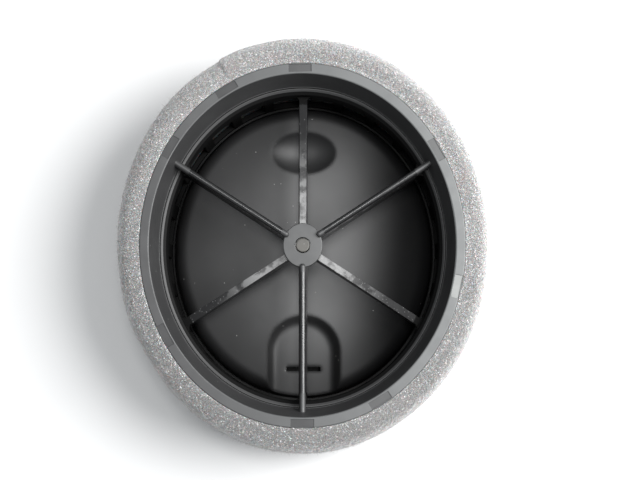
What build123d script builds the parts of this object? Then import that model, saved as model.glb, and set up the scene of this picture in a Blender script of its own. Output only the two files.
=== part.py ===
"""Motorcycle air filter cartridge: an oval drum that stands on its closed end, with its open neck upwards.

Air enters through a grey foam sleeve round the side, passes a finer foam layer and the windows of a support
tube, and leaves through the neck. Two moulded spiders cross the neck, one on the other, and a staked pin joins
their hubs. The rings are bonded to the moulded end cap and neck ring with potting compound.

Units are millimetres, +Z is up, and the origin is on the base plane, on the drum's axis. Radii are measured
along Y. Every ring is an oval whose half-width along X is WIDTH_SHARE times its radius.
"""

from build123d import *
import math
import os

# Driving dimensions
WIDTH_SHARE = 0.89  # width of every oval across X, as a share of its length along Y
HEIGHT = 46.0  # base plane to sealing face
SEAL_OUTER = 70.0  # sealing face of the neck ring
SEAL_INNER = 65.8
TUBE_INNER = 60.6  # support tube
TUBE_OUTER = 62.5
LIP_INNER = 59.9  # thicker band at the tube's upper end
THROAT_LOW = 62.9  # lower end of the neck's tapered throat
SLEEVE_OUTER = 80.4  # outside of the foam sleeve
FOOT_RADIUS = 76.0  # flange of the end cap, under the sleeve
GAP = 0.3  # room between the sleeve, which slides off, and what stays

# Heights, from the base plane
FOOT_TOP = 2.5
PLATE_TOP = HEIGHT - 33.0  # raised plate of the end cap, inside the drum
TUBE_TOP = HEIGHT - 12.0  # lip of the support tube
LIP_DROP = 1.0  # how far the lip slopes down to its inner edge
RIB_TOP = TUBE_TOP - LIP_DROP - 0.4  # lower ribs, a little under the lip
COLLAR_FLOOR = TUBE_TOP + 0.6  # ledge of the neck ring round the lip
NECK_BOTTOM = HEIGHT - 14.5
HUB_TOP = HEIGHT - 8.2
UPPER_RIB_TOP = HEIGHT - 6.3
SLEEVE_TOP = HEIGHT - 0.5

# Spiders
UPPER_RIB_ANGLES = (30, 150, 270)
LOWER_RIB_ANGLES = (90, 210, 330)
UPPER_RIB_WIDTH = 2.4
LOWER_RIB_WIDTH = 2.6  # at the back of a rib
LOWER_RIB_DRAFT = 0.5  # how much wider a rib's foot is, on each side
LOWER_RIB_DEPTH = 8.0
RIB_FLARE = 3.0  # fillet where a lower rib meets the tube
LIP_ROUNDING = 0.4
LOWER_RIB_DROP = 3.0  # how far the three free ribs fall from the hub to the tube
HUB_RADIUS = 8.6
HUB_THICK = 2.6
BOSS_RADIUS = 6.2
PIN_RADIUS = 2.7
PIN_HOLE = 3.1

# Moulded marks in the sealing face, by angle
MARK_ANGLES = (32, 91, 119, 147, 211, 270, 299, 346)
MARK_LENGTH = 8.9
MARK_WIDTH = 2.9
MARK_DEPTH = 0.3
MARK_RADIUS = 68.0

# End cap
PLATE_THICK = 2.2
PLATE_SHOULDER = 5.0
PLATE_RADIUS_LOW = 59.6
PLATE_RADIUS_HIGH = 58.0
DIMPLE_Y = 40.2
DIMPLE_HALF = (13.2, 8.8)
DIMPLE_DEPTH = 4.0
SCOOP_Y = -41.0
SCOOP_RADIUS = 14.9
SCOOP_DEPTH = 4.0
SCOOP_LEAN = 3.2  # how far the pocket's wall leans over its depth
SCOOP_REACH = 40.0  # how far the pocket runs past its centre, out through the shoulder
SCOOP_ROUNDING = 3.0
SLOT_Y = -47.8
SLOT_LENGTH = 13.8
SLOT_WIDTH = 1.8
SLOT_DEPTH = 1.4

# Support tube
WINDOW_COUNT = 24
WINDOW_WIDTH = 10.5
WINDOW_LOW = 7.5
WINDOW_HIGH = 25.0

# Foam and bonding
FINE_INNER = TUBE_OUTER + 0.3  # inner foam layer, round the support tube
FINE_OUTER = SEAL_OUTER - 0.4
POTTING_OUTER = SEAL_OUTER - 0.2
POTTING_TOP = 5.0  # top of the compound in the end cap
POTTING_THICK = 1.4  # compound under the neck ring
SEAM_ANGLE = 117.0  # where the sleeve's ends meet
FINE_SEAM_ANGLE = 297.0  # where the inner layer's ends meet
SEAM_THICK = 0.5


def oval(radius, z):
    """A flat oval face at height z."""
    return Pos(0, 0, z) * Ellipse(radius * WIDTH_SHARE, radius)


def drum(radius, z_low, z_high):
    """A straight oval drum."""
    return extrude(oval(radius, z_low), amount=z_high - z_low)


def taper(radius_low, z_low, radius_high, z_high):
    """An oval drum whose side leans."""
    return loft([oval(radius_low, z_low), oval(radius_high, z_high)])


def ring(outer, inner, z_low, z_high):
    """A straight oval ring."""
    return drum(outer, z_low, z_high) - drum(inner, z_low, z_high)


def on_oval(radius, angle):
    """The point of an oval at a design angle."""
    turn = math.radians(angle)
    return radius * WIDTH_SHARE * math.cos(turn), radius * math.sin(turn)


def heading(angle):
    """Direction, in degrees, from the axis to the point of any oval at a design angle."""
    x, y = on_oval(1.0, angle)
    return math.degrees(math.atan2(y, x))


def outward(angle):
    """Direction, in degrees, square to the wall of an oval at a design angle."""
    turn = math.radians(angle)
    return math.degrees(math.atan2(math.sin(turn), math.cos(turn) / WIDTH_SHARE))


def reach(radius, angle):
    """Distance from the axis to the wall of an oval at a design angle."""
    return math.hypot(*on_oval(radius, angle))


def edges_at(shape, z):
    """The edges that lie flat at height z."""
    return [e for e in shape.edges() if abs(e.bounding_box().min.Z - z) < 1e-3
            and abs(e.bounding_box().max.Z - z) < 1e-3]


def inner_edges_at(shape, z, radius):
    """The flat edges at height z that follow the oval of a radius."""
    return [e for e in edges_at(shape, z) if abs(e.bounding_box().max.Y - radius) < 0.05]


def collar():
    """Neck ring without its spider: sealing face, tapered throat, ledge and skirt, hollow from below."""
    wall = 1.6
    floor_inner = TUBE_OUTER + 0.25
    body = drum(SEAL_OUTER, NECK_BOTTOM, HEIGHT)
    body -= taper(THROAT_LOW, COLLAR_FLOOR, SEAL_INNER, HEIGHT)
    body -= drum(floor_inner, NECK_BOTTOM, COLLAR_FLOOR)
    body = fillet(inner_edges_at(body, HEIGHT, SEAL_INNER), 0.6)
    body = fillet(inner_edges_at(body, HEIGHT, SEAL_OUTER), 0.4)
    groove_low = drum(SEAL_OUTER - wall, NECK_BOTTOM, HEIGHT - 2.8)
    groove_core = taper(THROAT_LOW + wall, NECK_BOTTOM, SEAL_INNER + wall - 0.3, HEIGHT - 2.8)
    return body - (groove_low - groove_core)


def seal_marks():
    """Shallow moulded rectangles in the sealing face."""
    cutters = []
    for angle in MARK_ANGLES:
        x, y = on_oval(MARK_RADIUS, angle)
        block = Box(MARK_WIDTH, MARK_LENGTH, 2 * MARK_DEPTH)
        cutters.append(Pos(x, y, HEIGHT) * Rot(0, 0, outward(angle)) * block)
    return cutters


def upper_rib(angle):
    """A tall rib with a round back, from the hub out into the collar."""
    half = UPPER_RIB_WIDTH / 2
    start = HUB_RADIUS * 0.98 * reach(1.0, angle)
    end = reach(SEAL_INNER + 0.4, angle)
    bottom = TUBE_TOP + 0.1
    back = UPPER_RIB_TOP - half
    web = Pos((start + end) / 2, 0, (bottom + back) / 2) * Box(end - start, UPPER_RIB_WIDTH, back - bottom)
    crown = Pos((start + end) / 2, 0, back) * Rot(0, 90, 0) * Cylinder(half, end - start)
    nose = Pos(start, 0, (bottom + back) / 2) * Cylinder(half, back - bottom)
    tip = Pos(start, 0, back) * Sphere(half)
    return Rot(0, 0, heading(angle)) * (web + crown + nose + tip)


def neck_ring():
    """Collar, upper spider and hub plate, moulded in one."""
    body = collar()
    for cutter in seal_marks():
        body -= cutter
    hub = drum(HUB_RADIUS, HUB_TOP - HUB_THICK, HUB_TOP)
    hub = fillet(edges_at(hub, HUB_TOP), 0.3)
    spider = hub
    for angle in UPPER_RIB_ANGLES:
        spider += upper_rib(angle)
    spider &= drum(SEAL_INNER + 0.2, NECK_BOTTOM, HEIGHT)
    hole = Pos(0, 0, HUB_TOP) * Cylinder(PIN_HOLE, 4 * HUB_THICK)
    return (body + spider) - hole


def lower_rib(angle, width, low):
    """A drafted rib from the axis to the tube, with a hollow flare on both sides of its outer end."""
    length = reach((TUBE_INNER + TUBE_OUTER) / 2, angle)
    wall = reach(LIP_INNER, angle) + 0.4
    middle = (low + RIB_TOP) / 2
    depth = RIB_TOP - low
    foot_face = Pos(length / 2, 0, low) * Rectangle(length, width + 2 * LOWER_RIB_DRAFT)
    bar = loft([foot_face, Pos(length / 2, 0, RIB_TOP) * Rectangle(length, width)])
    foot_width = width + 2 * RIB_FLARE
    foot = Pos(wall - RIB_FLARE / 2, 0, middle) * Box(RIB_FLARE, foot_width, depth)
    for side in (-1, 1):
        hollow = Cylinder(RIB_FLARE, 2 * depth)
        foot -= Pos(wall - RIB_FLARE, side * foot_width / 2, middle) * hollow
    return Rot(0, 0, heading(angle)) * (bar + foot)


def lower_web():
    """Thick band at the tube's upper end, with a sloped lip, six flat ribs and a boss."""
    low = TUBE_TOP - LOWER_RIB_DEPTH
    web = ring(TUBE_OUTER, LIP_INNER, low, TUBE_TOP)
    web -= taper(LIP_INNER, TUBE_TOP - LIP_DROP, TUBE_OUTER - LIP_ROUNDING, TUBE_TOP)
    web = fillet(edges_at(web, TUBE_TOP - LIP_DROP), LIP_ROUNDING)
    for angle in UPPER_RIB_ANGLES:
        web += lower_rib(angle, UPPER_RIB_WIDTH, low)
    for angle in LOWER_RIB_ANGLES:
        web += lower_rib(angle, LOWER_RIB_WIDTH, low)
    boss_top = HUB_TOP - HUB_THICK - 0.2
    return web + Pos(0, 0, (low + boss_top) / 2) * Cylinder(BOSS_RADIUS, boss_top - low)


def rib_arches():
    """What the three free ribs lose: their backs leave the boss level and curve down to the tube."""
    room = drum(LIP_INNER, TUBE_TOP - LOWER_RIB_DEPTH, TUBE_TOP + 1)
    half_width = RIB_FLARE + LOWER_RIB_WIDTH
    cutters = []
    for angle in LOWER_RIB_ANGLES:
        near = BOSS_RADIUS + 0.5
        span = reach(LIP_INNER, angle) - near
        radius = (span ** 2 + LOWER_RIB_DROP ** 2) / (2 * LOWER_RIB_DROP)
        block = Pos(near + span, 0, 0) * Box(2 * span, 2 * half_width, 2 * LOWER_RIB_DROP + 4)
        arch = Pos(near, 0, -radius) * Rot(90, 0, 0) * Cylinder(radius, 4 * half_width)
        cutters.append((Pos(0, 0, RIB_TOP) * Rot(0, 0, heading(angle)) * (block - arch)) & room)
    return cutters


def support_tube():
    """Windowed tube with the lower spider across its upper end."""
    tube = ring(TUBE_OUTER, TUBE_INNER, POTTING_TOP, TUBE_TOP - LOWER_RIB_DEPTH)
    height = WINDOW_HIGH - WINDOW_LOW
    for index in range(WINDOW_COUNT):
        angle = (index + 0.5) * 360 / WINDOW_COUNT
        x, y = on_oval((TUBE_INNER + TUBE_OUTER) / 2, angle)
        window = Box(8, WINDOW_WIDTH, height)
        tube -= Pos(x, y, (WINDOW_LOW + WINDOW_HIGH) / 2) * Rot(0, 0, outward(angle)) * window
    web = lower_web()
    for cutter in rib_arches():
        web -= cutter
    body = tube + web
    boss_hole = Pos(0, 0, TUBE_TOP - LOWER_RIB_DEPTH + 2 + 10) * Cylinder(PIN_RADIUS + 0.05, 20)
    return body - boss_hole


def hub_pin():
    """Staked pin: a shank in the boss and a low crowned end in the hub plate."""
    low = TUBE_TOP - LOWER_RIB_DEPTH + 2.1
    top = HUB_TOP + 0.3
    pin = Pos(0, 0, (low + top) / 2) * Cylinder(PIN_RADIUS, top - low)
    return fillet(edges_at(pin, top), 0.5)


def spheroid(half_x, half_y, x, y, z):
    """A body of revolution about a line along X, with those half-axes."""
    outline = Ellipse(half_x, half_y) & (Pos(0, half_y) * Rectangle(2 * half_x, 2 * half_y))
    return Pos(x, y, z) * revolve(outline, Axis.X, 360)


def dimple(wall):
    """The bowl near one end of the plate; wall makes it larger, for the boss outside it."""
    half_x, half_y = DIMPLE_HALF
    bowl = (half_y ** 2 + DIMPLE_DEPTH ** 2) / (2 * DIMPLE_DEPTH)
    centre_z = PLATE_TOP - DIMPLE_DEPTH + bowl
    return spheroid(bowl * half_x / half_y + wall, bowl + wall, 0, DIMPLE_Y, centre_z)


def scoop(wall, floor, top):
    """The pocket at the other end: an arch open towards the rim, whose wall leans outwards."""
    slope = SCOOP_LEAN / SCOOP_DEPTH
    layers = []
    for z in (floor, top):
        size = SCOOP_RADIUS + wall - slope * (PLATE_TOP - z)
        outline = Circle(size) + Pos(0, -SCOOP_REACH / 2) * Rectangle(2 * size, SCOOP_REACH)
        layers.append(Pos(0, SCOOP_Y, z) * outline)
    return loft(layers)


def end_cap():
    """Foot flange and raised plate with a dimple, a pocket and a slot mark."""
    plate_low = PLATE_TOP - PLATE_THICK
    shell = taper(PLATE_RADIUS_LOW, FOOT_TOP, PLATE_RADIUS_HIGH, PLATE_TOP)
    shell = fillet(edges_at(shell, PLATE_TOP), PLATE_SHOULDER)
    hollow = taper(PLATE_RADIUS_LOW - PLATE_THICK, 0, PLATE_RADIUS_HIGH - PLATE_THICK, plate_low)
    hollow = fillet(edges_at(hollow, plate_low), PLATE_SHOULDER - PLATE_THICK)
    inside = drum(PLATE_RADIUS_HIGH, 0, PLATE_TOP - 0.5)
    scoop_floor = PLATE_TOP - SCOOP_DEPTH
    scoop_boss = scoop(PLATE_THICK, scoop_floor - PLATE_THICK, PLATE_TOP + 1) & inside
    hollow -= dimple(PLATE_THICK)
    hollow -= scoop_boss
    foot = drum(FOOT_RADIUS, 0, FOOT_TOP)
    foot = fillet(edges_at(foot, FOOT_TOP) + edges_at(foot, 0), 0.8)
    body = foot + shell - hollow
    body -= dimple(0)
    pocket = scoop(0, scoop_floor, PLATE_TOP + 1)
    body -= fillet(edges_at(pocket, scoop_floor), SCOOP_ROUNDING)
    body -= Pos(0, SLOT_Y, scoop_floor) * Box(SLOT_LENGTH, SLOT_WIDTH, 2 * SLOT_DEPTH)
    return body


def seam_slab(angle, inner, outer, z_low, z_high):
    """A thin radial slab where a foam strip's two ends meet."""
    near = reach(inner, angle)
    far = reach(outer, angle)
    slab = Pos((near + far) / 2, 0, (z_low + z_high) / 2) * Box(far - near, SEAM_THICK, z_high - z_low)
    return Rot(0, 0, heading(angle)) * slab


def fine_foam():
    """Inner foam layer round the support tube: one strip bent round, open at its seam."""
    layer = ring(FINE_OUTER, FINE_INNER, POTTING_TOP, NECK_BOTTOM - POTTING_THICK)
    return layer - seam_slab(FINE_SEAM_ANGLE, FINE_INNER - 4, FINE_OUTER + 4, 0, HEIGHT)


def fine_foam_glue():
    """The glue line that closes the inner foam layer."""
    high = NECK_BOTTOM - POTTING_THICK
    return seam_slab(FINE_SEAM_ANGLE, FINE_INNER + 0.3, FINE_OUTER - 0.3, POTTING_TOP, high)


def cap_potting():
    """Compound that bonds tube and fine foam to the end cap."""
    return ring(POTTING_OUTER, PLATE_RADIUS_LOW + 0.2, FOOT_TOP, POTTING_TOP)


def neck_potting():
    """Compound that bonds the fine foam to the neck ring."""
    return ring(POTTING_OUTER, FINE_INNER, NECK_BOTTOM - POTTING_THICK, NECK_BOTTOM)


def foam_sleeve():
    """Outer foam: one strip bent round, open at its seam."""
    low = FOOT_TOP + GAP
    sleeve = drum(SLEEVE_OUTER, low, SLEEVE_TOP)
    sleeve = fillet(edges_at(sleeve, SLEEVE_TOP), 6.0)
    sleeve = fillet(edges_at(sleeve, low), 2.5)
    sleeve -= drum(SEAL_OUTER + GAP, 0, HEIGHT)
    return sleeve - seam_slab(SEAM_ANGLE, SEAL_OUTER - 4, SLEEVE_OUTER + 4, 0, HEIGHT)


def sleeve_glue():
    """The glue line that closes the sleeve."""
    low = FOOT_TOP + GAP + 1.5
    return seam_slab(SEAM_ANGLE, SEAL_OUTER + 1.0, SLEEVE_OUTER - 2.2, low, SLEEVE_TOP - 2.5)


PARTS = {
    "neck_ring": neck_ring,
    "support_tube": support_tube,
    "hub_pin": hub_pin,
    "end_cap": end_cap,
    "fine_foam": fine_foam,
    "fine_foam_glue": fine_foam_glue,
    "cap_potting": cap_potting,
    "neck_potting": neck_potting,
    "foam_sleeve": foam_sleeve,
    "sleeve_glue": sleeve_glue,
}

os.makedirs("parts", exist_ok=True)
for name, build in PARTS.items():
    export_step(build(), f"parts/{name}.step")
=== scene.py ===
"""Oval drum air filter with a grey foam sleeve, standing on its closed end with its open neck upwards.

Everything is in metres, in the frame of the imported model: +Z out of the neck, +Y along the longer width.
"""

import bpy
import math
import numpy as np
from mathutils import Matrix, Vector, noise


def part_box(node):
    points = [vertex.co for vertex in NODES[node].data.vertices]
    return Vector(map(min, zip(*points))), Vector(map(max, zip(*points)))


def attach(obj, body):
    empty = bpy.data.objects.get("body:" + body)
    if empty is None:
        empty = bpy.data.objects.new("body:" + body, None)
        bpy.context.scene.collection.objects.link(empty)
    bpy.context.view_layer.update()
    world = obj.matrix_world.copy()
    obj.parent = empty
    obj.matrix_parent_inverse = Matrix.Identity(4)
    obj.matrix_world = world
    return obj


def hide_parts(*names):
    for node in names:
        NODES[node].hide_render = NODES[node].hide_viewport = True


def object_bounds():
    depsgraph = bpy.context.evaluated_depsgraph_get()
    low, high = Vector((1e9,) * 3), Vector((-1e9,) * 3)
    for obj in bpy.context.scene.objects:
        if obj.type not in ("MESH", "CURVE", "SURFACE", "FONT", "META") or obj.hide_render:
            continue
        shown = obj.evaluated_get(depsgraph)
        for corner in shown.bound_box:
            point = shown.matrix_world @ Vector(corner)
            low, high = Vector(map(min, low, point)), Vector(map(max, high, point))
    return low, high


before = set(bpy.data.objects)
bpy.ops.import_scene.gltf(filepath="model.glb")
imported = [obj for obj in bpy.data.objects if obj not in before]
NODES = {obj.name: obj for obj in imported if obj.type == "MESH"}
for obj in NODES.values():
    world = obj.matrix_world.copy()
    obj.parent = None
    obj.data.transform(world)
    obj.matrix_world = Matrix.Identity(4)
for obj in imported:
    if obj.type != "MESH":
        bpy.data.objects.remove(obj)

MM = 0.001
CAD_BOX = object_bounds()
FLOOR_Z = CAD_BOX[0].z
FACE_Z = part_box("neck_ring")[1].z

# The foam's ovals: half-lengths along Y, and the width along X as a share of them
SEAL_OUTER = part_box("neck_ring")[1].y
WIDTH_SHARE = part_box("neck_ring")[1].x / SEAL_OUTER
SLEEVE_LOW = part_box("foam_sleeve")[0].z
SLEEVE_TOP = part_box("foam_sleeve")[1].z + 0.4 * MM
SLEEVE_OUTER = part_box("foam_sleeve")[1].y
SLEEVE_INNER = SEAL_OUTER + 0.02 * MM
SEAM_ANGLE = math.radians(117)
SLACK_ANGLE = math.radians(214)
FINE_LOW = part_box("fine_foam")[0].z
FINE_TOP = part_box("fine_foam")[1].z
FINE_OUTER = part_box("fine_foam")[1].y
FINE_INNER = FINE_OUTER - 6.8 * MM
FINE_SEAM_ANGLE = math.radians(297)

# Ovals that divide each moulding's looks: the hub's rim, and the ribs' outer ends
HUB = 10.5 * MM
THROAT = 57 * MM

# Heights of the moulded details
LIP_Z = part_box("support_tube")[1].z
LIP_LOW_Z = LIP_Z - 1.35 * MM
MARK_DEPTH = 0.3 * MM

# The slot in the end cap's pocket, and its two long sides
SLOT_HALF_LENGTH = 6.9 * MM
SLOT_Y = (-48.5 * MM, -47.2 * MM)

X_AXIS = (1, 0, 0)
Y_AXIS = (0, 1, 0)
UP = (0, 0, 1)


# Camera, lights and floor


def place_camera():
    """Looks down into the neck from a little on the -Y side."""
    distance = 0.500
    elevation = math.radians(84.5)
    aim = Vector((6.7 * MM, 1.2 * MM, FACE_Z))
    back = Vector((0, -math.cos(elevation), math.sin(elevation)))
    data = bpy.data.cameras.new("camera")
    data.sensor_width = 36.0
    data.lens = 73.8
    data.clip_start = 0.01
    camera = bpy.data.objects.new("camera", data)
    bpy.context.scene.collection.objects.link(camera)
    camera.location = aim + back * distance
    camera.rotation_mode = "QUATERNION"
    camera.rotation_quaternion = (-back).to_track_quat("-Z", "Y")
    bpy.context.scene.camera = camera


def area_light(name, place, target, size, power):
    """A round soft white light at a place, aimed at a target."""
    data = bpy.data.lights.new(name, "AREA")
    data.shape = "DISK"
    data.size = size
    data.energy = power
    light = bpy.data.objects.new(name, data)
    bpy.context.scene.collection.objects.link(light)
    light.location = place
    light.rotation_mode = "QUATERNION"
    light.rotation_quaternion = (Vector(target) - Vector(place)).to_track_quat("-Z", "Y")


def light_scene():
    """A white room, a large soft window on the right, and a lamp overhead."""
    world = bpy.data.worlds.new("room")
    bpy.context.scene.world = world
    world.use_nodes = True
    background = world.node_tree.nodes["Background"]
    background.inputs["Color"].default_value = (0.93, 0.97, 1.0, 1)
    background.inputs["Strength"].default_value = 0.46
    centre = (0, 0, 0.03)
    area_light("window", place=(0.61, 0.10, 0.70), target=centre, size=0.72, power=17)
    area_light("overhead", place=(0.01, 0.10, 1.2), target=centre, size=0.32, power=4.2)
    scene = bpy.context.scene
    scene.view_settings.view_transform = "Standard"
    scene.view_settings.exposure = 0


def make_floor(material):
    """A plain pale table top."""
    half = 1.5
    mesh = bpy.data.meshes.new("floor")
    corners = [(-half, -half, FLOOR_Z), (half, -half, FLOOR_Z), (half, half, FLOOR_Z), (-half, half, FLOOR_Z)]
    mesh.from_pydata(corners, [], [(0, 1, 2, 3)])
    mesh.materials.append(material)
    floor = bpy.data.objects.new("floor", mesh)
    bpy.context.scene.collection.objects.link(floor)


# Materials


class Shader:
    """A material's node tree, with short calls for the nodes used here."""

    def __init__(self, name):
        self.material = bpy.data.materials.new(name)
        self.material.use_nodes = True
        self.tree = self.material.node_tree
        self.surface = self.tree.nodes["Principled BSDF"]
        coordinates = self.add("ShaderNodeTexCoord")
        self.place = coordinates.outputs["Object"]
        self.facing = coordinates.outputs["Normal"]

    def add(self, kind, **settings):
        node = self.tree.nodes.new(kind)
        for key, value in settings.items():
            setattr(node, key, value)
        return node

    def link(self, source, target):
        self.tree.links.new(source, target)

    def noise(self, scale, detail=3.0, stretch=None):
        """Noise, 0 to 1, with about scale grains to the metre."""
        node = self.add("ShaderNodeTexNoise")
        node.inputs["Scale"].default_value = scale
        node.inputs["Detail"].default_value = detail
        node.inputs["Roughness"].default_value = 0.55
        self.link(self.stretched(stretch), node.inputs["Vector"])
        return node.outputs["Fac"]

    def cells(self, scale, feature="F1"):
        """Distance pattern of random cells, about scale cells to the metre."""
        node = self.add("ShaderNodeTexVoronoi", feature=feature)
        node.inputs["Scale"].default_value = scale
        self.link(self.place, node.inputs["Vector"])
        return node.outputs["Distance"]

    def chance(self, scale):
        """A random value for each of about scale cells to the metre."""
        node = self.add("ShaderNodeTexVoronoi")
        node.inputs["Scale"].default_value = scale
        self.link(self.place, node.inputs["Vector"])
        split = self.add("ShaderNodeSeparateXYZ")
        self.link(node.outputs["Color"], split.inputs[0])
        return split.outputs["X"]

    def along(self, vector, axis):
        """How far a vector reaches along an axis."""
        node = self.add("ShaderNodeVectorMath", operation="DOT_PRODUCT")
        self.link(vector, node.inputs[0])
        node.inputs[1].default_value = axis
        return node.outputs["Value"]

    def stretched(self, stretch):
        """Object coordinates, multiplied per axis."""
        if stretch is None:
            return self.place
        node = self.add("ShaderNodeVectorMath", operation="MULTIPLY")
        self.link(self.place, node.inputs[0])
        node.inputs[1].default_value = stretch
        return node.outputs[0]

    def ramp(self, value, low, high, out_low=0.0, out_high=1.0):
        """Maps low..high to out_low..out_high, smoothly and clamped."""
        node = self.add("ShaderNodeMapRange", interpolation_type="SMOOTHSTEP")
        self.link(value, node.inputs["Value"])
        node.inputs["From Min"].default_value = low
        node.inputs["From Max"].default_value = high
        node.inputs["To Min"].default_value = out_low
        node.inputs["To Max"].default_value = out_high
        return node.outputs["Result"]

    def math(self, operation, first, second):
        """Arithmetic on two values, each a socket or a number."""
        node = self.add("ShaderNodeMath", operation=operation)
        for value, socket in zip((first, second), node.inputs):
            if isinstance(value, (int, float)):
                socket.default_value = value
            else:
                self.link(value, socket)
        return node.outputs[0]

    def mix(self, factor, first, second):
        """Blends two colours, each a socket or an (r, g, b)."""
        node = self.add("ShaderNodeMix", data_type="RGBA")
        self.link(factor, node.inputs["Factor"])
        for value, socket in ((first, node.inputs[6]), (second, node.inputs[7])):
            if isinstance(value, tuple):
                socket.default_value = (*value, 1)
            else:
                self.link(value, socket)
        return node.outputs[2]

    def bump(self, height, strength, distance, under=None):
        """A normal from a height socket, on top of another normal."""
        node = self.add("ShaderNodeBump")
        node.inputs["Strength"].default_value = strength
        node.inputs["Distance"].default_value = distance
        self.link(height, node.inputs["Height"])
        if under is not None:
            self.link(under, node.inputs["Normal"])
        return node.outputs["Normal"]

    def soft_edges(self, radius):
        """A normal that rounds sharp edges by a radius."""
        node = self.add("ShaderNodeBevel", samples=6)
        node.inputs["Radius"].default_value = radius
        return node.outputs["Normal"]

    def between(self, value, low, high):
        """1 where a value lies between low and high."""
        above = self.math("GREATER_THAN", value, low)
        below = self.math("LESS_THAN", value, high)
        return self.math("MULTIPLY", above, below)

    def height_mask(self, low, high):
        """1 where the point's height lies between low and high."""
        return self.between(self.along(self.place, UP), low, high)

    def oval_radius(self):
        """Half-length of the oval that passes through the point."""
        node = self.add("ShaderNodeVectorMath", operation="LENGTH")
        self.link(self.stretched((1 / WIDTH_SHARE, 1, 0)), node.inputs[0])
        return node.outputs["Value"]

    def set(self, **values):
        """Uniform values, on the surface's own sockets."""
        for key, value in values.items():
            self.surface.inputs[key.replace("_", " ")].default_value = value

    def finish(self, colour=None, roughness=None, normal=None):
        for socket, name in ((colour, "Base Color"), (roughness, "Roughness"), (normal, "Normal")):
            if socket is not None:
                self.link(socket, self.surface.inputs[name])
        return self.material


def brighter(colour, times, lift=0.0):
    """A colour made lighter, up to white."""
    return tuple(min(1, times * c + lift) for c in colour)


def moulded(s, dark, pale, rough, grain, grain_depth, scuffs=0.3, uneven=0.05, edge=0.18 * MM):
    """Moulded plastic's colour, roughness and normal: fine grain, uneven sheen, scuffs and specks of dust."""
    colour = s.mix(s.ramp(s.noise(55, 4), 0.35, 0.7), dark, pale)
    streak = s.noise(420, 2, stretch=(1, 0.2, 1))
    scuffed = s.math("MULTIPLY", s.ramp(streak, 0.66, 0.78), scuffs)
    colour = s.mix(scuffed, colour, brighter(pale, 2.2, 0.02))
    dust = s.ramp(s.cells(210), 0.045, 0.02)
    colour = s.mix(dust, colour, (0.35, 0.35, 0.34))
    roughness = s.ramp(s.noise(120, 3), 0.3, 0.75, rough - uneven, rough + uneven)
    normal = s.bump(s.noise(grain, 2), 0.6, grain_depth, s.soft_edges(edge))
    return colour, roughness, normal


def plain_moulded(name, **look):
    """Moulded plastic with nothing more to it."""
    s = Shader(name)
    return s.finish(*moulded(s, **look))


def mark_colour(s, across):
    """Colour of the sunk marks in the sealing face, lighter towards the right as a weaker copy of the painted
    reflection, and the one at its right pale.
    """
    # Painted reflection: the marks too are painted lighter towards the right.
    colour = s.mix(s.ramp(across, -20 * MM, 80 * MM), (0.012, 0.012, 0.013), (0.065, 0.067, 0.067))
    pale_right_mark = s.ramp(s.along(s.place, X_AXIS), 56 * MM, 57 * MM)
    return s.mix(pale_right_mark, colour, (0.2, 0.205, 0.2))


def painted_sheen_amount(s):
    """How much of the painted reflection shows: it is painted on level faces as if they reflected the lamps,
    thinner below the sealing face, and on its rim.
    """
    level = s.ramp(s.along(s.facing, UP), 0.93, 0.998)
    patchy = s.math("MULTIPLY", level, s.ramp(s.noise(160, 4), 0.2, 0.6, 0.75, 1.0))
    on_face = s.ramp(s.along(s.place, UP), FACE_Z - 3 * MM, FACE_Z - 1 * MM, 0.4, 1.0)
    rim = s.height_mask(FACE_Z - MARK_DEPTH - 0.06 * MM, FACE_Z + 1 * MM)
    return s.math("MAXIMUM", s.math("MULTIPLY", patchy, on_face), s.math("MULTIPLY", rim, 0.9))


def ring_plastic():
    """Dark grey moulding with a painted reflection on its level faces, lighter towards the right and weaker
    in its sunk marks, and smoother ribs painted near-black as shade.
    """
    s = Shader("ring_plastic")
    colour, roughness, normal = moulded(s, dark=(0.026, 0.026, 0.0265), pale=(0.032, 0.032, 0.0325),
                                        rough=0.5, grain=2600, grain_depth=0.006 * MM, scuffs=0.1)
    across = s.along(s.place, (0.98, 0.15, 0))
    # Painted reflection: level faces are painted lighter towards the right, where the window's reflection
    # falls.
    painted_sheen = s.mix(s.ramp(across, -75 * MM, 85 * MM), (0.026, 0.026, 0.027), (0.115, 0.12, 0.12))
    sunk = s.height_mask(FACE_Z - MARK_DEPTH - 0.1 * MM, FACE_Z - MARK_DEPTH + 0.1 * MM)
    painted_sheen = s.mix(sunk, painted_sheen, mark_colour(s, across))
    colour = s.mix(painted_sheen_amount(s), colour, painted_sheen)
    # Painted shade: the ribs are painted near-black, darker than the bevels and faces of this same moulding.
    ribs = s.between(s.oval_radius(), HUB, THROAT)
    colour = s.mix(ribs, colour, (0.009, 0.009, 0.0093))
    s.set(Specular_IOR_Level=0.7)
    return s.finish(colour, s.math("SUBTRACT", roughness, s.math("MULTIPLY", ribs, 0.2)), normal)


def rib_highlights_and_scratches(s, colour, radius):
    """Painted highlights, pale in long strokes, on the ribs' level backs near the hub, and fine scratches all
    along them.
    """
    level = s.ramp(s.along(s.facing, UP), 0.9, 0.99)
    near_hub = s.math("MULTIPLY", level, s.ramp(radius, 46 * MM, 22 * MM))
    # Painted highlight: pale strokes near the hub stand for the overhead lamp's reflection.
    highlight_streaks = s.ramp(s.noise(190, 4, stretch=(1, 1, 0)), 0.42, 0.56)
    colour = s.mix(s.math("MULTIPLY", near_hub, highlight_streaks), colour, (0.13, 0.13, 0.13))
    scratches = s.math("MULTIPLY", level, s.ramp(s.cells(900), 0.22, 0.12, 0.0, 0.3))
    return s.mix(scratches, colour, (0.3, 0.3, 0.3))


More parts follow.
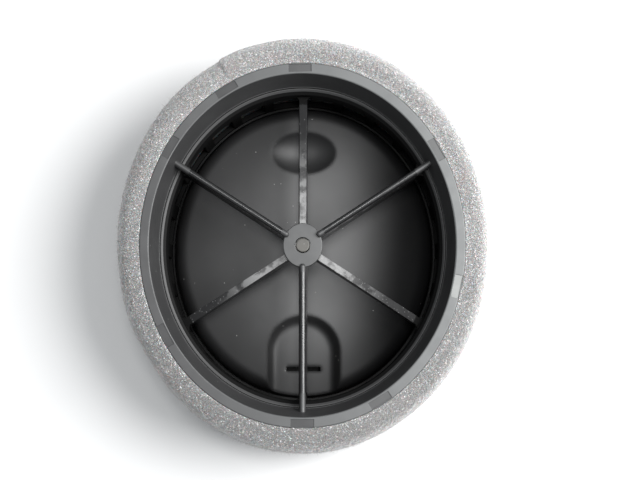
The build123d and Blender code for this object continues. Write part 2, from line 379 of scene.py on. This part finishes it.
def tube_plastic():
    """Black moulding: satin lip painted lighter as highlight, glossy ribs with painted highlights near the
    hub, matt windowed wall painted darker as shade.
    """
    s = Shader("tube_plastic")
    colour, _, normal = moulded(s, dark=(0.008, 0.008, 0.0085), pale=(0.012, 0.012, 0.0125), rough=0.3,
                                grain=1500, grain_depth=0.004 * MM, scuffs=0.2)
    normal = s.bump(s.noise(45, 1), 1.0, 0.12 * MM, normal)
    radius = s.oval_radius()
    colour = rib_highlights_and_scratches(s, colour, radius)
    wall = s.ramp(radius, THROAT - 0.5 * MM, THROAT)
    lip = s.height_mask(LIP_LOW_Z, FACE_Z)
    # Painted shade: the wall below the lip is painted darker, with weaker gloss, as the shade inside the
    # drum.
    shaded_wall = s.math("MULTIPLY", wall, s.math("SUBTRACT", 1.0, lip))
    colour = s.mix(shaded_wall, colour, (0.004, 0.004, 0.004))
    # Painted highlight: the lip is painted lighter than the rest of this moulding.
    colour = s.mix(s.math("MULTIPLY", wall, lip), colour, (0.026, 0.026, 0.0265))
    shine = s.math("SUBTRACT", s.ramp(radius, 14 * MM, 40 * MM, 0.5, 0.2), s.math("MULTIPLY", shaded_wall, 0.14))
    s.link(s.math("ADD", shine, s.math("MULTIPLY", lip, 0.2)), s.surface.inputs["Specular IOR Level"])
    gloss = s.ramp(s.noise(120, 3), 0.3, 0.75, 0.26, 0.38)
    roughness = s.math("MAXIMUM", gloss, s.math("MULTIPLY", wall, 0.48))
    return s.finish(colour, roughness, normal)


def painted_gloss_map(s):
    """Strength of the end cap's gloss, painted as light and shade: a painted reflection down its middle, and
    painted shade at its right and its rim.
    """
    across = s.along(s.place, (1, -0.1, 0))
    left = s.ramp(across, -26 * MM, -4 * MM, 0.48, 0.8)
    right = s.ramp(across, 10 * MM, 42 * MM, 1.0, 0.06)
    inward = s.ramp(s.oval_radius(), 18 * MM, THROAT, 1.0, 0.4)
    return s.math("MULTIPLY", s.math("MULTIPLY", left, right), inward)


def cap_plastic():
    """Black moulding with a fine matt grain, its gloss painted stronger down its middle and weaker at its
    right and rim as painted light and shade, and painted shade in the moulded slot.
    """
    s = Shader("cap_plastic")
    colour, roughness, normal = moulded(s, dark=(0.009, 0.009, 0.0093), pale=(0.010, 0.010, 0.0103),
                                        rough=0.52, grain=3200, grain_depth=0.03 * MM, scuffs=0.0,
                                        uneven=0.01, edge=2.4 * MM)
    # Painted shade: the slot is painted near-black, with its gloss nearly taken away.
    slot = s.math("MULTIPLY", s.between(s.along(s.place, Y_AXIS), *SLOT_Y),
                  s.between(s.along(s.place, X_AXIS), -SLOT_HALF_LENGTH, SLOT_HALF_LENGTH))
    gloss = s.math("MULTIPLY", painted_gloss_map(s), s.ramp(slot, 0.0, 1.0, 1.0, 0.15))
    s.link(gloss, s.surface.inputs["Specular IOR Level"])
    s.set(IOR=1.6)
    return s.finish(s.mix(slot, colour, (0.003, 0.003, 0.003)), roughness, normal)


def foam_colour(s, strut, pore, tint, edge, fine, chance):
    """Pale struts round dark cells, stained in places, darker towards -Y, with painted light on the rounded
    outer edge and painted glints.
    """
    colour = s.mix(s.ramp(edge, 0.16, 0.02), pore, strut)
    colour = s.mix(s.ramp(fine, 0.22, 0.04, 0.0, 0.45), colour, strut)
    colour = s.mix(s.ramp(chance, 0.0, 0.5, 0.5, 0.0), colour, pore)
    stain = s.ramp(s.noise(90, 3), 0.58, 0.74, 0.0, 0.4)
    colour = s.mix(stain, colour, tint)
    # Darker towards -Y, along this direction.
    darker_towards_minus_y = s.ramp(s.along(s.place, (-0.25, -0.97, 0)), -80 * MM, 80 * MM, 0.0, 0.5)
    colour = s.mix(darker_towards_minus_y, colour, pore)
    # Painted light: the rounded upper outer edge is painted paler, as light glowing through the foam's edge.
    turned = s.ramp(s.along(s.facing, UP), 0.95, 0.3, 0.0, 0.5)
    painted_edge_light = s.math("MULTIPLY", turned, s.ramp(s.along(s.place, UP), 30 * MM, 40 * MM))
    colour = s.mix(painted_edge_light, colour, brighter(strut, 1.8))
    # Painted glints: a few random cells are painted much paler than the struts.
    return s.mix(s.ramp(chance, 0.93, 0.99), colour, brighter(strut, 1.7))


def foam(name, strut, pore, tint, cell, depth, sheen):
    """Open foam with cells of a size, in two sizes of relief."""
    s = Shader(name)
    edge = s.cells(1 / cell, "DISTANCE_TO_EDGE")
    fine = s.cells(2.3 / cell, "DISTANCE_TO_EDGE")
    colour = foam_colour(s, strut, pore, tint, edge, fine, s.chance(1.7 / cell))
    roughness = s.ramp(edge, 0.02, 0.3, 0.32, 0.8)
    normal = s.bump(s.ramp(edge, 0.25, 0.0), 0.9, depth)
    normal = s.bump(s.ramp(fine, 0.25, 0.0), 0.6, depth * 0.5, normal)
    s.set(Sheen_Weight=sheen, Sheen_Roughness=0.35, Subsurface_Weight=0.25, Subsurface_Scale=2 * MM)
    return s.finish(colour, roughness, normal)


def strut_material(name, colour, pale):
    """Glassy foam struts, each a little different."""
    s = Shader(name)
    s.set(Roughness=0.22, Specular_IOR_Level=0.8)
    return s.finish(s.mix(s.chance(900), colour, pale))


def table_top():
    """Matt white board."""
    s = Shader("table_top")
    colour = s.mix(s.noise(30, 3), (0.68, 0.68, 0.68), (0.70, 0.70, 0.70))
    s.set(Roughness=0.7)
    return s.finish(colour)


def dress(node, material):
    """Gives a CAD node a material and smooth shading up to its real edges."""
    mesh = NODES[node].data
    mesh.materials.clear()
    mesh.materials.append(material)
    mesh.shade_smooth()
    mesh.set_sharp_from_angle(angle=math.radians(28))


# Foam


def smooth_step(x):
    """0 below 0, 1 above 1, with no corners."""
    x = np.clip(x, 0, 1)
    return x * x * (3 - 2 * x)


def ring_section(inner, outer, low, top, rounds, step):
    """Points and outward directions round a ring's section, as (radius, z) pairs.

    rounds are the corner radii: outer top, inner top, inner low, outer low.
    """
    places = ((outer, top, -1, -1), (inner, top, 1, -1), (inner, low, 1, 1), (outer, low, -1, 1))
    starts = (0, 90, 180, 270)
    corners = [(x + sx * r, z + sz * r, r, start) for (x, z, sx, sz), r, start in zip(places, rounds, starts)]
    arc_steps = (step, step, 3 * step, step)
    side_steps = (step, 3.5 * step, 3.5 * step, step)
    points, normals = [], []
    for index, (cx, cz, radius, start) in enumerate(corners):
        count = max(2, round(radius * math.pi / 2 / arc_steps[index]))
        for k in range(count + 1):
            turn = math.radians(start + 90 * k / count)
            points.append((cx + radius * math.cos(turn), cz + radius * math.sin(turn)))
            normals.append((math.cos(turn), math.sin(turn)))
        nx, nz, nr, nstart = corners[(index + 1) % 4]
        turn = math.radians(nstart)
        begin, end = points[-1], (nx + nr * math.cos(turn), nz + nr * math.sin(turn))
        count = max(1, round(math.dist(begin, end) / side_steps[index]))
        for k in range(1, count):
            share = k / count
            points.append((begin[0] + (end[0] - begin[0]) * share, begin[1] + (end[1] - begin[1]) * share))
            normals.append(normals[-1])
    return np.array(points), np.array(normals)


def beyond_angle(angle, mark):
    """How far an angle is past a mark, from minus to plus half a turn."""
    return (angle - mark + math.pi) % (2 * math.pi) - math.pi


def swell(distance, width):
    """A smooth bump of height 1 and about that half-width."""
    return math.exp(-((distance / width) ** 2))


def bulge(angle):
    """How far the sleeve's outside stands proud of its oval, by angle: it is bent from one strip."""
    past = beyond_angle(angle, SEAM_ANGLE)
    proud = 0.4 * MM * swell(past + 0.10, 0.12) * (past < 0)
    dent = -0.45 * MM * swell(past, 0.25) * (past >= 0)
    slack = -0.6 * MM * swell(angle - SLACK_ANGLE, 0.16)
    leaning = 0.8 * MM * math.sin(angle)
    return proud + dent + slack + leaning


def noise_at(places, scale):
    """Smooth noise at each place, about -1 to 1, with about scale grains to the metre."""
    return np.array([noise.noise(Vector(p) * scale) for p in places])


def relief_at(places, cell):
    """Depth of open cells at each place: 0 on a wall between two cells, 1 well inside one."""
    nearest = [noise.voronoi(Vector(p) / cell)[0] for p in places]
    return np.array([min(1.0, (near[1] - near[0]) * 2.2) for near in nearest])


def ring_mesh(name, points, normals, around, lift):
    """A closed ring with that section, every point moved along its normal by lift(angle, places)."""
    angles = np.linspace(0, 2 * math.pi, around, endpoint=False)
    count = len(points)
    verts = np.empty((around, count, 3))
    for i, angle in enumerate(angles):
        c, s = math.cos(angle), math.sin(angle)
        out = Vector((c, WIDTH_SHARE * s, 0)).normalized()
        base = np.column_stack((points[:, 0] * WIDTH_SHARE * c, points[:, 0] * s, points[:, 1]))
        way = np.column_stack((normals[:, 0] * out.x, normals[:, 0] * out.y, normals[:, 1]))
        verts[i] = base + way * lift(angle, base)[:, None]
    index = np.arange(around * count).reshape(around, count)
    a, b = index, np.roll(index, -1, axis=0)
    faces = np.stack((a, b, np.roll(b, -1, axis=1), np.roll(a, -1, axis=1)), axis=-1).reshape(-1, 4)
    mesh = bpy.data.meshes.new(name)
    mesh.from_pydata(verts.reshape(-1, 3).tolist(), [], faces.tolist())
    mesh.shade_smooth()
    return mesh


def add_piece(name, mesh, material, body, slot, *replaced):
    """Links a new piece under its body's empty and hides the nodes it stands for; slot is not used."""
    mesh.materials.append(material)
    piece = bpy.data.objects.new(name, mesh)
    bpy.context.scene.collection.objects.link(piece)
    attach(piece, body)
    if replaced:
        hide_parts(*replaced)
    return piece


def make_sleeve(material):
    """The foam sleeve: soft bulges, a butt seam and open cells all over its surface."""
    step = 0.55 * MM
    around = 860
    rounds = (6.4 * MM, 0.12 * MM, 1.2 * MM, 2.6 * MM)
    points, normals = ring_section(SLEEVE_INNER, SLEEVE_OUTER, SLEEVE_LOW, SLEEVE_TOP, rounds, step)
    cell = 1.15 * MM
    depth = 0.42 * MM
    outside = smooth_step((points[:, 0] - SLEEVE_INNER - 1 * MM) / (4 * MM))

    def lift(angle, base):
        lumps = noise_at(base, 38) * 0.35 * MM
        relief = relief_at(base, cell) * depth * (0.05 + 0.95 * outside)
        grain = noise_at(base, 1500) * 0.12 * MM
        return (lumps + bulge(angle) + grain) * outside - relief

    mesh = ring_mesh("foam_sleeve_cells", points, normals, around, lift)
    piece = add_piece("foam_sleeve_cells", mesh, material, "sleeve", "foam_sleeve",
                      "foam_sleeve", "sleeve_glue")
    return piece


def make_fine_foam(material):
    """The inner foam layer: a dark strip bent round the tube, with a groove at its glued seam."""
    step = 0.9 * MM
    around = 620
    rounds = (0.6 * MM, 0.4 * MM, 0.4 * MM, 0.6 * MM)
    cell = 1.5 * MM
    depth = 0.25 * MM
    points, normals = ring_section(FINE_INNER, FINE_OUTER, FINE_LOW, FINE_TOP, rounds, step)

    def lift(angle, base):
        relief = relief_at(base, cell) * depth
        groove = 0.5 * MM * swell(beyond_angle(angle, FINE_SEAM_ANGLE), 0.012)
        return -relief - groove

    mesh = ring_mesh("fine_foam_cells", points, normals, around, lift)
    piece = add_piece("fine_foam_cells", mesh, material, "drum", "fine_foam", "fine_foam", "fine_foam_glue")


def spindles(name, middles, ways, lengths, thickness):
    """Many small closed spindles in one mesh: three corners round the middle, and a point at each end."""
    count = len(middles)
    spare = np.where(np.abs(ways[:, 2:]) < 0.8, (0.0, 0.0, 1.0), (1.0, 0.0, 0.0))
    side = np.cross(ways, spare)
    side /= np.linalg.norm(side, axis=1, keepdims=True)
    rise = np.cross(ways, side)
    reach = ways * lengths[:, None] / 2
    corners = [middles - reach, middles + reach]
    for turn in np.radians((0, 120, 240)):
        corners.append(middles + (side * math.cos(turn) + rise * math.sin(turn)) * thickness[:, None])
    verts = np.stack(corners, axis=1).reshape(-1, 3)
    pattern = np.array([(0, 3, 2), (0, 4, 3), (0, 2, 4), (1, 2, 3), (1, 3, 4), (1, 4, 2)])
    faces = (np.arange(count)[:, None, None] * 5 + pattern).reshape(-1, 3)
    mesh = bpy.data.meshes.new(name)
    mesh.from_pydata(verts.tolist(), [], faces.tolist())
    return mesh


def make_struts(name, sleeve, material, seed, count, beyond, shortest, spread, thickness, stray):
    """Loose struts that stand out of the sleeve's cut cells, beyond an oval, with their tails in the foam."""
    rng = np.random.default_rng(seed)
    places = np.array([v.co for v in sleeve.data.vertices])
    normals = np.array([v.normal for v in sleeve.data.vertices])
    open_side = np.hypot(places[:, 0] / WIDTH_SHARE, places[:, 1]) > beyond
    chosen = rng.choice(np.flatnonzero(open_side), count)
    ways = normals[chosen] + rng.normal(size=(count, 3)) * stray
    ways /= np.linalg.norm(ways, axis=1, keepdims=True)
    lengths = shortest + np.minimum(rng.exponential(spread, count), 3 * spread)
    tail = 0.25 * MM
    middles = places[chosen] + ways * (lengths / 2 - tail)[:, None]
    mesh = spindles(name, middles, ways, lengths, rng.uniform(0.6, 1.3, count) * thickness)
    add_piece(name, mesh, material, "sleeve", "foam_sleeve")


def make_edge_grains(material):
    """White crumbs of foam along the sleeve's inner edge, beside the sealing face."""
    rng = np.random.default_rng(5)
    count = 1500
    angles = rng.uniform(0, 2 * math.pi, count)
    crowd = np.array([noise.noise(Vector((math.cos(a), math.sin(a), 0.3)) * 6) for a in angles])
    angles = angles[crowd + rng.uniform(-0.5, 0.5, count) > -0.1]
    count = len(angles)
    radius = SLEEVE_INNER + rng.gamma(1.6, 0.4, count) * MM
    height = SLEEVE_TOP + rng.uniform(-0.1, 0.2, count) * MM
    middles = np.column_stack((radius * WIDTH_SHARE * np.cos(angles), radius * np.sin(angles), height))
    ways = rng.normal(size=(count, 3))
    ways /= np.linalg.norm(ways, axis=1, keepdims=True)
    mesh = spindles("foam_edge_grains", middles, ways, rng.uniform(0.3, 0.7, count) * MM,
                    rng.uniform(0.10, 0.2, count) * MM)
    add_piece("foam_edge_grains", mesh, material, "sleeve", "foam_sleeve")


place_camera()
light_scene()
make_floor(table_top())

potting = plain_moulded("potting", dark=(0.005, 0.005, 0.005), pale=(0.008, 0.008, 0.008), rough=0.75,
                        grain=600, grain_depth=0.05 * MM, scuffs=0.0)
pin_plastic = plain_moulded("pin_plastic", dark=(0.06, 0.058, 0.054), pale=(0.10, 0.095, 0.085), rough=0.55,
                            grain=1500, grain_depth=0.1 * MM)
grey_foam = foam("grey_foam", strut=(0.43, 0.42, 0.415), pore=(0.14, 0.137, 0.135), tint=(0.31, 0.255, 0.25),
                 cell=0.62 * MM, depth=0.3 * MM, sheen=0.9)
# Painted shade: the inner foam is near-black so the tube's windows look as dark as the shade inside the drum.
dark_foam = foam("dark_foam", strut=(0.055, 0.055, 0.056), pore=(0.025, 0.025, 0.025),
                 tint=(0.04, 0.04, 0.04), cell=0.5 * MM, depth=0.2 * MM, sheen=0.0)
foam_struts = strut_material("foam_struts", (0.34, 0.33, 0.326), (0.50, 0.49, 0.484))
foam_grains = strut_material("foam_grains", (0.6, 0.6, 0.6), (0.8, 0.79, 0.77))

dress("neck_ring", ring_plastic())
dress("support_tube", tube_plastic())
dress("end_cap", cap_plastic())
dress("hub_pin", pin_plastic)
dress("cap_potting", potting)
dress("neck_potting", potting)
make_fine_foam(dark_foam)
outer_foam = make_sleeve(grey_foam)
make_struts("foam_sleeve_struts", outer_foam, foam_struts, seed=11, count=36000,
            beyond=SLEEVE_INNER + 0.8 * MM, shortest=0.4 * MM, spread=0.2 * MM,
            thickness=0.05 * MM, stray=0.8)
make_struts("foam_sleeve_fuzz", outer_foam, foam_struts, seed=12, count=22000,
            beyond=SLEEVE_OUTER - 2.5 * MM, shortest=0.6 * MM, spread=0.6 * MM,
            thickness=0.03 * MM, stray=0.45)
make_edge_grains(foam_grains)
